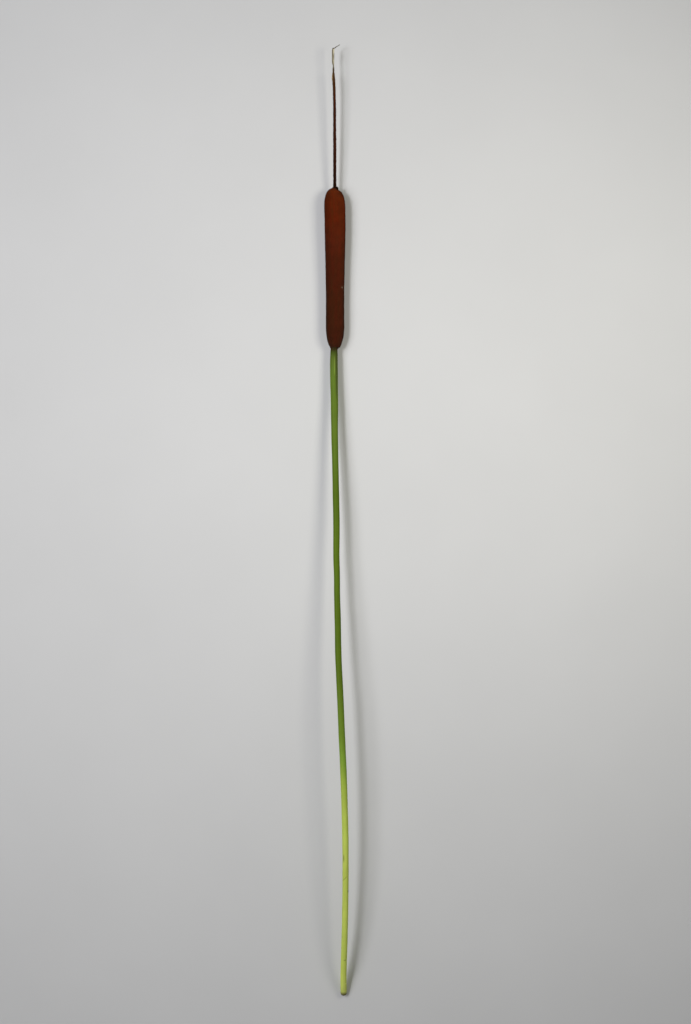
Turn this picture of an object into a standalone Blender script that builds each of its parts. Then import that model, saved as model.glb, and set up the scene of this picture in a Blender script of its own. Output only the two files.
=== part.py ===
# A cut cattail stalk that lies on a flat surface, as it was laid down after cutting.
#
# Metres, +Z up. The stalk runs along Y, with the cut end of the stem at -Y and the withered
# tip at +Y. The origin is under the middle of the whole stalk, on the surface it lies on.
# The heavy seed head rests all along its underside. The stem springs up from it in a long
# low arch and comes down on the lower edge of its cut end.

import math

import bmesh
import bpy
from mathutils import Matrix, Vector

MM = 0.001
GAP = 0.3 * MM  # clearance between two pieces that touch

# Seed head: a turned felt body, a little thicker towards its top
HEAD_BASE_Y = 169.9 * MM
HEAD_LENGTH = 162.1 * MM
HEAD_LOWER_RADIUS = 9.1 * MM
HEAD_UPPER_RADIUS = 10.45 * MM
HEAD_SWELL = (50 * MM, 135 * MM)  # it thickens between these distances from its base
HEAD_BASE_DOME = 23.5 * MM  # length of the rounded end above the stem
HEAD_TOP_DOME = 19 * MM
BASE_DOME_POWER = 2.2  # 2 rounds the end as an ellipse, and more is blunter
TOP_DOME_POWER = 2.15
SHOULDER_DENT = 1.0 * MM  # hollow round the foot of the male spike, which leaves a low peak
SHOULDER_DENT_AT = 2.3 * MM  # distance of that hollow from the top
HEAD_X = -1.45 * MM
HEAD_NOD = 1.4 * MM  # how far its top is turned to the left
HEAD_NOD_FROM = 110 * MM  # distance from its base at which that turn begins
HEAD_FLAT_DEPTH = 0.35 * MM  # how far the soft underside is pressed flat by its weight
HEAD_SIDES = 36
HEAD_BODY_RINGS = 10
HEAD_DOME_RINGS = 10

# A stem's stations are (x, y, z of its middle, diameter) in millimetres, from its lower end
# upwards. This one goes up from the cut end, over the arch, through a small jog half way
# along, thickens under the seed head and ends inside its base.
STEM_STATIONS = (
    (7.15, -472.2, 2.82, 6.1),
    (6.95, -464.0, 6.6, 6.3),
    (6.9, -452.0, 11.3, 6.2),
    (7.35, -433.5, 17.9, 6.2),
    (8.25, -402.0, 24.6, 6.2),
    (8.8, -368.0, 28.9, 6.2),
    (8.95, -336.0, 31.6, 6.3),
    (8.6, -304.0, 33.4, 6.4),
    (7.75, -272.0, 34.6, 6.3),
    (6.7, -241.0, 35.2, 6.3),
    (5.3, -210.0, 35.2, 6.2),
    (4.0, -178.0, 34.5, 6.3),
    (2.5, -147.0, 32.6, 6.2),
    (1.8, -131.0, 31.5, 6.2),
    (1.3, -100.0, 28.6, 6.2),
    (0.5, -69.0, 26.0, 6.1),
    (0.5, -53.0, 24.7, 6.2),
    (-0.15, -37.0, 23.4, 6.3),
    (0.0, -5.0, 21.2, 6.7),
    (-0.55, 26.0, 19.0, 6.6),
    (-1.2, 58.0, 16.7, 6.5),
    (-1.9, 90.0, 14.1, 6.9),
    (-2.1, 122.0, 11.3, 7.5),
    (-2.55, 144.0, 9.9, 7.7),
    (-2.65, 160.0, 9.3, 7.6),
    (-2.6, 165.0, 9.2, 7.4),
    (-2.5, 170.0, 9.1, 6.8),
    (-2.3, 176.0, 9.1, 6.4),
)
STEM_STEP = 9 * MM
STEM_BEVEL = 6  # 16 sides

# Male spike: the bare rough axis above the seed head, left after its flowers have gone
SPIKE_STATIONS = (
    (-1.75, 326.0, 10.3, 3.1),
    (-1.75, 333.0, 10.9, 3.1),
    (-1.75, 350.0, 12.1, 3.1),
    (-1.75, 368.0, 13.2, 3.1),
    (-1.85, 388.0, 14.2, 2.9),
    (-1.9, 408.0, 15.0, 2.8),
    (-2.3, 427.0, 15.7, 2.7),
    (-2.8, 439.0, 16.0, 2.7),
    (-2.95, 444.0, 16.1, 1.9),
    (-3.0, 448.0, 16.1, 1.5),
    (-3.0, 451.2, 16.1, 1.1),
)
SPIKE_STEP = 4 * MM
SPIKE_BEVEL = 3  # 10 sides

# Withered tip: a pale dry shred that narrows to a fine thread, bent over to the right
TIP_STATIONS = (
    (-3.0, 451.6, 16.1, 1.2),
    (-3.2, 454.0, 16.1, 1.9),
    (-3.45, 459.0, 16.2, 2.2),
    (-3.3, 465.0, 16.4, 2.3),
    (-3.1, 468.2, 16.5, 2.0),
    (-2.4, 469.2, 16.6, 0.9),
    (0.2, 470.9, 16.8, 0.7),
    (3.5, 472.6, 17.0, 0.6),
)
TIP_STEP = 1.2 * MM
TIP_BEVEL = 2  # 8 sides

# Bract stub: the dark dry scale left beside the foot of the male spike
BRACT_WIDTH = 2.2 * MM
BRACT_THICKNESS = 1.4 * MM
BRACT_LENGTH = 3.9 * MM
BRACT_CENTRE = Vector((0.5, 330.2, 15.7)) * MM
BRACT_LEAN = math.radians(40)  # its tip stands up from the long axis of the stalk
BRACT_SWING = math.radians(-27)  # and is swung to the left, towards the spike
BRACT_SEGMENTS = (12, 8)  # round it and along it

# Cutters, which only have to reach past what they cut
SOCKET_SIDES = 24
SOCKET_LENGTH = 16 * MM
SURFACE_CUTTER = Vector((60 * MM, 2 * HEAD_LENGTH, 10 * MM))

SHARP_ANGLE = math.radians(40)
MERGE_DISTANCE = 0.01 * MM

# Finishes: name, linear colour, roughness
STEM_FINISH = ("green_stem", (0.105, 0.185, 0.018), 0.45)
HEAD_FINISH = ("brown_felt", (0.105, 0.019, 0.006), 0.95)
SPIKE_FINISH = ("red_brown_axis", (0.045, 0.012, 0.004), 0.7)
TIP_FINISH = ("dry_straw", (0.42, 0.37, 0.25), 0.8)
BRACT_FINISH = ("dark_bract", (0.02, 0.009, 0.005), 0.8)


def clear_scene():
    for thing in list(bpy.data.objects):
        bpy.data.objects.remove(thing, do_unlink=True)


def new_collection(name):
    collection = bpy.data.collections.new(name)
    bpy.context.scene.collection.children.link(collection)
    return collection


def plant_material(name, colour, roughness):
    material = bpy.data.materials.new(name)
    material.use_nodes = True
    shader = material.node_tree.nodes["Principled BSDF"]
    shader.inputs["Base Color"].default_value = (*colour, 1)
    shader.inputs["Roughness"].default_value = roughness
    shader.inputs["Metallic"].default_value = 0
    material.diffuse_color = (*colour, 1)
    return material


def add_object(name, data, collection, parent=None, location=(0, 0, 0)):
    piece = bpy.data.objects.new(name, data)
    collection.objects.link(piece)
    piece.parent = parent
    piece.location = location
    return piece


def mesh_from(form, name):
    """Ends a bmesh as a mesh of this name."""
    mesh = bpy.data.meshes.new(name)
    form.to_mesh(mesh)
    form.free()
    return mesh


def add_cutter(name, mesh, collection, location=(0, 0, 0)):
    cutter = add_object(name, mesh, collection, None, location)
    cutter.hide_render = True
    cutter.display_type = "WIRE"
    return cutter


def cut(piece, cutter):
    boolean = piece.modifiers.new(cutter.name, "BOOLEAN")
    boolean.operation = "DIFFERENCE"
    boolean.object = cutter
    boolean.solver = "EXACT"


def smooth_step(low, high, value):
    """0 up to low, 1 from high on, and an even S between them."""
    share = min(1.0, max(0.0, (value - low) / (high - low)))
    return share * share * (3 - 2 * share)


class Route:
    """The smooth line through a stem's stations, read by distance from its lower end."""

    def __init__(self, stations):
        self.rows = [Vector(station) * MM for station in stations]
        self.marks = [0.0]
        for lower, upper in zip(self.rows, self.rows[1:]):
            self.marks.append(self.marks[-1] + (upper - lower).xyz.length)
        self.length = self.marks[-1]

    def slope(self, index):
        """How fast the row changes at a station, from its neighbours on both sides."""
        before = max(0, index - 1)
        after = min(len(self.rows) - 1, index + 1)
        return (self.rows[after] - self.rows[before]) / (self.marks[after] - self.marks[before])

    def read(self, distance):
        """The row at this distance: a cubic between the stations on either side."""
        index = sum(mark <= distance for mark in self.marks) - 1
        index = min(len(self.rows) - 2, index)
        span = self.marks[index + 1] - self.marks[index]
        t = (distance - self.marks[index]) / span
        return (
            self.rows[index] * ((1 + 2 * t) * (1 - t) ** 2)
            + self.slope(index) * (span * t * (1 - t) ** 2)
            + self.rows[index + 1] * (t * t * (3 - 2 * t))
            + self.slope(index + 1) * (span * t * t * (t - 1))
        )

    def middle(self, distance):
        return self.read(distance).xyz

    def radius(self, distance):
        return self.read(distance).w / 2


def make_stem_piece(name, route, step, bevel_resolution, finish, parts, parent):
    """A round stem along a route: a curve object with its origin at its lower end."""
    origin = route.middle(0)
    count = round(route.length / step)
    curve = bpy.data.curves.new(name, "CURVE")
    curve.dimensions = "3D"
    curve.bevel_depth = 1.0  # a point's own radius is then the stem's radius
    curve.bevel_resolution = bevel_resolution
    curve.use_fill_caps = True
    spline = curve.splines.new("POLY")
    spline.points.add(count)
    for index, point in enumerate(spline.points):
        distance = route.length * index / count
        point.co = (*(route.middle(distance) - origin), 1)
        point.radius = route.radius(distance)
    curve.materials.append(plant_material(*finish))
    return add_object(name, curve, parts, parent, origin)


def body_radius(height):
    """Radius of the seed head's body at this distance from its base, without the domes."""
    swell = smooth_step(*HEAD_SWELL, height)
    return HEAD_LOWER_RADIUS + (HEAD_UPPER_RADIUS - HEAD_LOWER_RADIUS) * swell


def dome_share(height, length, power):
    """Share of the full radius in a rounded end, at this distance from its pole."""
    if height >= length:
        return 1.0
    return (1 - (1 - height / length) ** power) ** (1 / power)


def head_radius(height):
    from_top = HEAD_LENGTH - height
    radius = body_radius(height)
    radius *= dome_share(height, HEAD_BASE_DOME, BASE_DOME_POWER)
    radius *= dome_share(from_top, HEAD_TOP_DOME, TOP_DOME_POWER)
    off_dent = from_top / SHOULDER_DENT_AT - 1
    if abs(off_dent) < 1:
        radius -= SHOULDER_DENT * (1 - off_dent**2)
    return radius


def head_middle(height):
    """Middle of the seed head at this distance from its base: it sags onto the surface."""
    turned = max(0.0, (height - HEAD_NOD_FROM) / (HEAD_LENGTH - HEAD_NOD_FROM))
    x = HEAD_X - HEAD_NOD * turned**3
    return Vector((x, HEAD_BASE_Y + height, body_radius(height) - HEAD_FLAT_DEPTH))


def head_heights():
    """Distances from the base at which the outline has a point, from the top down."""
    turns = [math.pi / 2 * ring / HEAD_DOME_RINGS for ring in range(HEAD_DOME_RINGS)]
    base = [HEAD_BASE_DOME * (1 - math.cos(turn)) for turn in turns]
    top = [HEAD_LENGTH - HEAD_TOP_DOME * (1 - math.cos(turn)) for turn in turns]
    straight = HEAD_LENGTH - HEAD_BASE_DOME - HEAD_TOP_DOME
    rings = range(HEAD_BODY_RINGS, -1, -1)
    body = [HEAD_BASE_DOME + straight * ring / HEAD_BODY_RINGS for ring in rings]
    return top + body + base[::-1]


def turned_head(parts):
    """The seed head's outline turned about Z, with its base at the origin."""
    outline = bmesh.new()
    points = [outline.verts.new((head_radius(height), 0, height)) for height in head_heights()]
    for upper, lower in zip(points, points[1:]):
        outline.edges.new((upper, lower))
    turned = add_object("turned_head", mesh_from(outline, "head_outline"), parts)
    screw = turned.modifiers.new("turn", "SCREW")
    screw.steps = HEAD_SIDES
    screw.render_steps = HEAD_SIDES
    screw.use_merge_vertices = True
    screw.merge_threshold = MERGE_DISTANCE
    graph = bpy.context.evaluated_depsgraph_get()
    solid = bpy.data.meshes.new_from_object(turned.evaluated_get(graph))
    bpy.data.objects.remove(turned, do_unlink=True)
    solid.name = "seed_head"
    return solid


def socket_cutter(name, route, end, inside, cutters):
    """A round hole that keeps GAP all round the end of a stem in the seed head."""
    tip = route.middle(end)
    inwards = (tip - route.middle(inside)).normalized()
    radius = route.radius(end) + GAP
    rod = bmesh.new()
    bmesh.ops.create_cone(
        rod,
        cap_ends=True,
        segments=SOCKET_SIDES,
        radius1=radius,
        radius2=radius,
        depth=SOCKET_LENGTH,
    )
    middle = tip + inwards * (GAP - SOCKET_LENGTH / 2)
    hole = add_cutter(name, mesh_from(rod, name), cutters, middle)
    hole.rotation_mode = "QUATERNION"
    hole.rotation_quaternion = inwards.to_track_quat("Z", "Y")
    return hole


def surface_cutter(cutters):
    """The space under the surface that the stalk lies on."""
    block = bmesh.new()
    bmesh.ops.create_cube(block, size=1)
    bmesh.ops.scale(block, verts=block.verts, vec=SURFACE_CUTTER)
    middle = (0, HEAD_BASE_Y + HEAD_LENGTH / 2, -SURFACE_CUTTER.z / 2)
    return add_cutter("surface", mesh_from(block, "surface"), cutters, middle)


def bract_form(name, clearance):
    """The bract's flat pointed scale in its place, thicker all round by a clearance."""
    scale = bmesh.new()
    around, along = BRACT_SEGMENTS
    bmesh.ops.create_uvsphere(scale, u_segments=around, v_segments=along, radius=0.5)
    bmesh.ops.rotate(scale, verts=scale.verts, matrix=Matrix.Rotation(math.pi / 2, 3, "X"))
    size = Vector((BRACT_WIDTH, BRACT_LENGTH, BRACT_THICKNESS))
    grown = size + Vector((1, 1, 1)) * (2 * clearance)
    bmesh.ops.scale(scale, verts=scale.verts, vec=grown)
    turn = Matrix.Rotation(BRACT_SWING, 4, "Y") @ Matrix.Rotation(BRACT_LEAN, 4, "X")
    place = Matrix.Translation(BRACT_CENTRE) @ turn
    bmesh.ops.transform(scale, verts=scale.verts, matrix=place)
    mesh = mesh_from(scale, name)
    mesh.shade_smooth()
    return mesh


def make_seed_head(parts, cutters, parent, stem, spike):
    mesh = turned_head(parts)
    origin = Vector((HEAD_X, HEAD_BASE_Y, 0))
    for point in mesh.vertices:
        across, up, height = point.co
        point.co = head_middle(height) - origin + Vector((across, 0, -up))
    mesh.shade_smooth()
    mesh.set_sharp_from_angle(angle=SHARP_ANGLE)
    mesh.materials.append(plant_material(*HEAD_FINISH))
    head = add_object("seed_head", mesh, parts, parent, origin)
    stem_inside = stem.length - STEM_STEP
    cut(head, surface_cutter(cutters))
    cut(head, socket_cutter("stem_socket", stem, stem.length, stem_inside, cutters))
    cut(head, socket_cutter("spike_socket", spike, 0, SPIKE_STEP, cutters))
    cut(head, add_cutter("bract_pocket", bract_form("bract_pocket", GAP), cutters))
    return head


def make_bract_stub(parts, parent):
    mesh = bract_form("bract_stub", 0)
    mesh.materials.append(plant_material(*BRACT_FINISH))
    return add_object("bract_stub", mesh, parts, parent)


def build():
    clear_scene()
    parts = new_collection("cattail_stalk")
    cutters = new_collection("cutters")
    stalk = add_object("stalk_on_surface", None, parts)
    stem = Route(STEM_STATIONS)
    spike = Route(SPIKE_STATIONS)
    tip = Route(TIP_STATIONS)
    make_stem_piece("stem", stem, STEM_STEP, STEM_BEVEL, STEM_FINISH, parts, stalk)
    make_seed_head(parts, cutters, stalk, stem, spike)
    make_stem_piece("male_spike", spike, SPIKE_STEP, SPIKE_BEVEL, SPIKE_FINISH, parts, stalk)
    make_stem_piece("withered_tip", tip, TIP_STEP, TIP_BEVEL, TIP_FINISH, parts, stalk)
    make_bract_stub(parts, stalk)


build()
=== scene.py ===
# %% [markdown]
# # A cut cattail stalk, laid down
#
# The stalk is 946 mm long and mostly 6 mm thick. What the eye reads is the colour along its
# length, the velvet of the seed head, and small things at the ends: the browned cut, the bract
# stub, the rough male spike and the withered tip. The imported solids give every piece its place
# and thickness, so each finished piece here is a finer skin on the same lines.

import bisect
import math

import bmesh
import bpy
from mathutils import Matrix, Vector, noise


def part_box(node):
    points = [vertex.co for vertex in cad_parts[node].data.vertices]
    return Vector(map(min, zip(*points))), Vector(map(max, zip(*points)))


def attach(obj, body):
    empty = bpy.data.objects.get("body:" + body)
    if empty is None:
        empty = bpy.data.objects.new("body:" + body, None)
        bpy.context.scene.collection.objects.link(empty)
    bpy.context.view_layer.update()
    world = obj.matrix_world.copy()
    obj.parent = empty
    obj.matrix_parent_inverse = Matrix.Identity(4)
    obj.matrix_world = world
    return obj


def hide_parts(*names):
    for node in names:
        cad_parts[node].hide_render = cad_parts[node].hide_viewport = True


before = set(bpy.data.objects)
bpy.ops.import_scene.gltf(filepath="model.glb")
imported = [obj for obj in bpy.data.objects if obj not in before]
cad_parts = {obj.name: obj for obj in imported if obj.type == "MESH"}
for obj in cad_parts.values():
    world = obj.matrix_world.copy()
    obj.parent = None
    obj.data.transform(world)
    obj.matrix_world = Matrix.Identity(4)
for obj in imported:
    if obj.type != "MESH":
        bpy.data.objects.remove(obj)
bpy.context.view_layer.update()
MM = 0.001
WELD = 0.005 * MM
BODY = "root"

# %% [markdown]
# ## Reading the solids
#
# A long plant piece is a middle line and a thickness. Both can be read from its solid: the
# solid is sliced across at many places, and the slice's outline gives its middle and its half
# width. That way the skins can't drift away from the solids when those change. The solids
# come as loose triangles, so a copy is welded before it is sliced.


# %% Slice a solid across
def welded(name):
    """A copy of a solid with its loose triangles joined."""
    form = bmesh.new()
    form.from_mesh(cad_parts[name].data)
    bmesh.ops.remove_doubles(form, verts=form.verts, dist=WELD)
    return form


def outline_at(form, y):
    """The points where a plane across the stalk meets a solid."""
    sliced = form.copy()
    whole = sliced.verts[:] + sliced.edges[:] + sliced.faces[:]
    cut = bmesh.ops.bisect_plane(sliced, geom=whole, plane_co=(0, y, 0), plane_no=(0, 1, 0))
    points = [item.co.copy() for item in cut["geom_cut"] if isinstance(item, bmesh.types.BMVert)]
    sliced.free()
    return points


stem_low, stem_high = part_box("stem")
middle_of_stem = (stem_low.y + stem_high.y) / 2
stem_form = welded("stem")
print("points in one slice:", len(outline_at(stem_form, middle_of_stem)))
stem_form.free()


# %% [markdown]
# Straight steps from slice to slice would show as kinks in a thin shiny stem. A cubic curve
# through the measured values has none. Past its ends a middle line goes on straight, as the
# ends of a cut stem do, and a thickness stays as it was.


# %% A smooth curve through measured values
class SmoothCurve:
    """Values at places along Y, read between them without corners."""

    def __init__(self, places, values, goes_on=True):
        self.places = places
        self.values = values
        self.beyond = 1.0 if goes_on else 0.0
        last = len(places) - 1
        self.slopes = []
        for index in range(len(places)):
            before = max(index - 1, 0)
            after = min(index + 1, last)
            rise = values[after] - values[before]
            self.slopes.append(rise / (places[after] - places[before]))

    def at(self, y):
        if y <= self.places[0]:
            return self.values[0] + self.slopes[0] * (self.beyond * (y - self.places[0]))
        if y >= self.places[-1]:
            return self.values[-1] + self.slopes[-1] * (self.beyond * (y - self.places[-1]))
        after = bisect.bisect_right(self.places, y)
        before = after - 1
        span = self.places[after] - self.places[before]
        t = (y - self.places[before]) / span
        ease = t * t * (3 - 2 * t)
        value = self.values[before] * (1 - ease) + self.values[after] * ease
        leave = self.slopes[before] * (span * t * (1 - t) ** 2)
        arrive = self.slopes[after] * (span * t * t * (1 - t))
        return value + leave - arrive


# %% The middle line of a long piece
TANGENT_REACH = 0.5 * MM


class MiddleLine:
    """The middle of a long piece and its half width, by distance along Y.

    A piece that lies on its belly is pressed flat below, so its middle is found from its top.
    """

    def __init__(self, name, places, on_its_belly=False):
        form = welded(name)
        middles = []
        radii = []
        for y in places:
            points = outline_at(form, y)
            xs = [point.x for point in points]
            zs = [point.z for point in points]
            radius = (max(xs) - min(xs)) / 2
            height = max(zs) - radius if on_its_belly else (max(zs) + min(zs)) / 2
            middles.append(Vector(((max(xs) + min(xs)) / 2, y, height)))
            radii.append(radius)
        form.free()
        self.middle = SmoothCurve(places, middles)
        self.radius = SmoothCurve(places, radii, goes_on=False)

    def axes(self, y):
        """The middle at y, the line's direction, and the two directions across it."""
        middle = self.middle.at(y)
        ahead = self.middle.at(y + TANGENT_REACH)
        along = (ahead - self.middle.at(y - TANGENT_REACH)).normalized()
        side = along.cross(Vector((0, 0, 1))).normalized()
        return middle, along, side, side.cross(along)

    def on_skin(self, y, turn, radius):
        """A point at a distance from the line. The turn goes round from below, 0 to 1."""
        middle, _, side, up = self.axes(y)
        angle = math.tau * (turn - 0.25)
        return middle + (side * math.cos(angle) + up * math.sin(angle)) * radius


def even_steps(low, high, step):
    """Places from low to high, evenly apart and no further than step."""
    count = math.ceil((high - low) / step)
    return [low + (high - low) * index / count for index in range(count + 1)]


def crowded_ends(low, high, count):
    """Places from low to high that come closer together towards both ends."""
    return [low + (high - low) * (1 - math.cos(math.pi * index / count)) / 2
            for index in range(count + 1)]


# %% Read the four long pieces
STEM_CUT_REACH = 3.5 * MM  # the slanted cut end and the hidden end give no whole slice
STEM_SLICE = 9 * MM
SPIKE_SLICE = 4 * MM
TIP_SLICE = 1.5 * MM
END_MARGIN = 0.06 * MM
HEAD_SLICES = 56
HAIR_RISE = 4.6 * MM  # the last stretch of the tip is a fine hair, bent over sideways

head_low, head_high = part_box("seed_head")
spike_low, spike_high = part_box("male_spike")
tip_low, tip_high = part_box("withered_tip")

stem_line = MiddleLine(
    "stem", even_steps(stem_low.y + STEM_CUT_REACH, stem_high.y - STEM_CUT_REACH, STEM_SLICE))
head_line = MiddleLine(
    "seed_head",
    crowded_ends(head_low.y + END_MARGIN, head_high.y - END_MARGIN, HEAD_SLICES),
    on_its_belly=True)
spike_line = MiddleLine(
    "male_spike", even_steps(spike_low.y + 1 * MM, spike_high.y - 0.3 * MM, SPIKE_SLICE))
tip_line = MiddleLine(
    "withered_tip", even_steps(tip_low.y + 0.3 * MM, tip_high.y - HAIR_RISE, TIP_SLICE))
print("stem radius half way:", stem_line.radius.at(middle_of_stem))
print("head radius half way:", head_line.radius.at((head_low.y + head_high.y) / 2))

# %% [markdown]
# ## Small node helpers
#
# Materials and scattered tufts are both node trees. One short function that adds a node, sets
# its values and makes its links keeps each of them readable. Inputs are given by name, or by
# number where a node has several of the same name.


# %% Add one node, with its values and links
def add(tree, kind, inputs=None, **settings):
    made = tree.nodes.new(kind)
    for name, value in settings.items():
        setattr(made, name, value)
    for name, value in (inputs or {}).items():
        if isinstance(value, bpy.types.NodeSocket):
            tree.links.new(value, made.inputs[name])
        else:
            made.inputs[name].default_value = value
    return made


def calculate(tree, operation, first, second=0.0, clamp=False):
    made = add(tree, "ShaderNodeMath", {0: first, 1: second}, operation=operation, use_clamp=clamp)
    return made.outputs[0]


def times(tree, first, second):
    return calculate(tree, "MULTIPLY", first, second)


def calculate_vector(tree, operation, first, second=(0.0, 0.0, 0.0)):
    return add(tree, "ShaderNodeVectorMath", {0: first, 1: second}, operation=operation).outputs


def blend(tree, share, first, second, mode="MIX"):
    """A colour between two others, or one laid over the other."""
    made = add(tree, "ShaderNodeMix", data_type="RGBA", blend_type=mode)
    for index, value in ((0, share), (6, first), (7, second)):
        if isinstance(value, bpy.types.NodeSocket):
            tree.links.new(value, made.inputs[index])
        elif isinstance(value, tuple):
            made.inputs[index].default_value = (*value, 1)
        else:
            made.inputs[index].default_value = value
    return made.outputs[2]


def tint(tree, colour, by):
    """A colour multiplied by another colour, or by a brightness."""
    return blend(tree, 1.0, colour, by, "MULTIPLY")


def between(tree, share, low, high):
    """A share from 0 to 1, stretched to run from low to high."""
    return calculate(tree, "ADD", times(tree, share, high - low), low)


def change(tree, value, start, end, low=0.0, high=1.0, kind="SMOOTHSTEP"):
    """Goes from low to high, softly or evenly, while a value goes from start to end."""
    made = add(tree, "ShaderNodeMapRange", {
        "Value": value, "From Min": start, "From Max": end, "To Min": low, "To Max": high},
        interpolation_type=kind)
    return made.outputs[0]


def colours_along(tree, share, stops):
    """A colour ramp. Each stop is a place from 0 to 1 and a linear colour."""
    made = add(tree, "ShaderNodeValToRGB", {"Fac": share})
    ramp = made.color_ramp
    for index, (place, colour) in enumerate(stops):
        stop = ramp.elements[index] if index < 2 else ramp.elements.new(place)
        stop.position = place
        stop.color = (*colour, 1)
    return made.outputs["Color"]


# %% [markdown]
# ## Effects that several materials share
#
# Plant skin has three kinds of pattern that come back on every piece: fine fibres that run
# lengthwise, soft blotches, and single marks such as a scratch or a scale scar. Each is a node
# group with its own inputs, built once. The fibres follow the piece's own UV map, bent into
# a ring so that they meet again behind without a seam. Blotches and marks use object
# coordinates, which every piece shares because all of them stand at the origin.

# %% A node group with named inputs
BAKE_MAP = "OFBake"


def place_on_map(tree):
    """The piece's own UV map: X goes round the piece and Y along it."""
    map_place = add(tree, "ShaderNodeUVMap", uv_map=BAKE_MAP).outputs[0]
    return add(tree, "ShaderNodeSeparateXYZ", {0: map_place}).outputs


def place_on_object(tree):
    coordinates = add(tree, "ShaderNodeTexCoord").outputs["Object"]
    return add(tree, "ShaderNodeSeparateXYZ", {0: coordinates}).outputs


def new_group(name, inputs, outputs):
    """An empty shader group. Inputs are name, kind and value, and outputs are name and kind."""
    group = bpy.data.node_groups.new(name, "ShaderNodeTree")
    for label, kind, value in inputs:
        socket = group.interface.new_socket(label, in_out="INPUT", socket_type=kind)
        socket.default_value = value
    for label, kind in outputs:
        group.interface.new_socket(label, in_out="OUTPUT", socket_type=kind)
    start = group.nodes.new("NodeGroupInput")
    end = group.nodes.new("NodeGroupOutput")
    return group, start, end


def use_group(tree, group, **inputs):
    return add(tree, "ShaderNodeGroup", inputs, node_tree=group).outputs[0]


NUMBER = "NodeSocketFloat"
VECTOR = "NodeSocketVector"


# %% Lengthwise fibres
def make_fibres():
    """Streaks that run along a rolled skin. Around and Along are the counts of patches."""
    group, start, end = new_group(
        "lengthwise_fibres",
        (("Around", NUMBER, 10.0), ("Along", NUMBER, 10.0), ("Shift", NUMBER, 0.0)),
        (("Streaks", NUMBER),))
    on_map = place_on_map(group)
    angle = times(group, on_map["X"], math.tau)
    radius = calculate(group, "DIVIDE", start.outputs["Around"], math.tau)
    across = times(group, calculate(group, "COSINE", angle), radius)
    upward = times(group, calculate(group, "SINE", angle), radius)
    onward = times(group, on_map["Y"], start.outputs["Along"])
    shifted = calculate(group, "ADD", onward, start.outputs["Shift"])
    ring_place = add(group, "ShaderNodeCombineXYZ", {0: across, 1: upward, 2: shifted})
    texture = add(group, "ShaderNodeTexNoise", {
        "Vector": ring_place.outputs[0], "Scale": 1.0, "Detail": 3.0, "Roughness": 0.6})
    group.links.new(texture.outputs[0], end.inputs["Streaks"])
    return group


fibres = make_fibres()


# %% Soft blotches
def make_blotches():
    """Cloudy patches of a given size, from 0 to 1 with most of it near a half."""
    group, start, end = new_group(
        "soft_blotches",
        (("Size", NUMBER, 5 * MM), ("Detail", NUMBER, 3.0), ("Contrast", NUMBER, 1.0)),
        (("Blotches", NUMBER),))
    place = add(group, "ShaderNodeTexCoord").outputs["Object"]
    scale = calculate(group, "DIVIDE", 1.0, start.outputs["Size"])
    texture = add(group, "ShaderNodeTexNoise", {
        "Vector": place, "Scale": scale, "Detail": start.outputs["Detail"], "Roughness": 0.55})
    centred = calculate(group, "SUBTRACT", texture.outputs[0], 0.5)
    spread = times(group, centred, start.outputs["Contrast"])
    raised = calculate(group, "ADD", spread, 0.5, clamp=True)
    group.links.new(raised, end.inputs["Blotches"])
    return group


blotches = make_blotches()


# %% One mark on the skin
MARK_EDGE = (0.6, 1.3)  # a mark fades between these shares of its half size


def make_mark():
    """A spot of a given half size, turned about the vertical, with a soft edge."""
    group, start, end = new_group(
        "single_mark",
        (("Place", VECTOR, (0, 0, 0)), ("Half Size", VECTOR, (MM, MM, MM)), ("Turn", NUMBER, 0.0)),
        (("Mark", NUMBER),))
    place = add(group, "ShaderNodeTexCoord").outputs["Object"]
    centred = calculate_vector(group, "SUBTRACT", place, start.outputs["Place"])[0]
    turned = add(group, "ShaderNodeVectorRotate",
                 {"Vector": centred, "Angle": start.outputs["Turn"]},
                 rotation_type="Z_AXIS").outputs[0]
    scaled = calculate_vector(group, "DIVIDE", turned, start.outputs["Half Size"])[0]
    distance = calculate_vector(group, "LENGTH", scaled)["Value"]
    edge = change(group, distance, *MARK_EDGE, low=1.0, high=0.0)
    group.links.new(edge, end.inputs["Mark"])
    return group


mark = make_mark()


def marked(tree, place_mm, half_mm, strength, degrees=0.0):
    """How strongly one mark covers a point."""
    spot = use_group(
        tree, mark, **{"Place": Vector(place_mm) * MM, "Half Size": Vector(half_mm) * MM,
                       "Turn": math.radians(degrees)})
    return times(tree, spot, strength)


# %% Place along the stalk, from 0 to 1
def share_along(tree, low, high, place=None):
    """How far a point is from low to high along Y, from 0 to 1."""
    if place is None:
        place = place_on_object(tree)["Y"]
    return change(tree, place, low, high, kind="LINEAR")


def colours_by_place(tree, stops, place=None):
    """A ramp along the stalk. Each stop is a place along Y in mm and a linear colour."""
    low = stops[0][0] * MM
    high = stops[-1][0] * MM
    share = share_along(tree, low, high, place)
    return colours_along(tree, share, [((y * MM - low) / (high - low), tone) for y, tone in stops])


def new_material(name, roughness, specular):
    """A material with its shader, and the uniform values set on the shader itself."""
    material = bpy.data.materials.new(name)
    material.use_nodes = True
    tree = material.node_tree
    shader = tree.nodes["Principled BSDF"]
    shader.inputs["Roughness"].default_value = roughness
    shader.inputs["Specular IOR Level"].default_value = specular
    return material, tree, shader


def paint(tree, shader, colour, relief=None, depth=0.0):
    """Gives a shader its colour, and bump with the depth of its relief as a real size."""
    tree.links.new(colour, shader.inputs["Base Color"])
    if relief is not None:
        bump = add(tree, "ShaderNodeBump", {"Height": relief, "Distance": depth, "Strength": 1.0})
        tree.links.new(bump.outputs[0], shader.inputs["Normal"])


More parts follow.
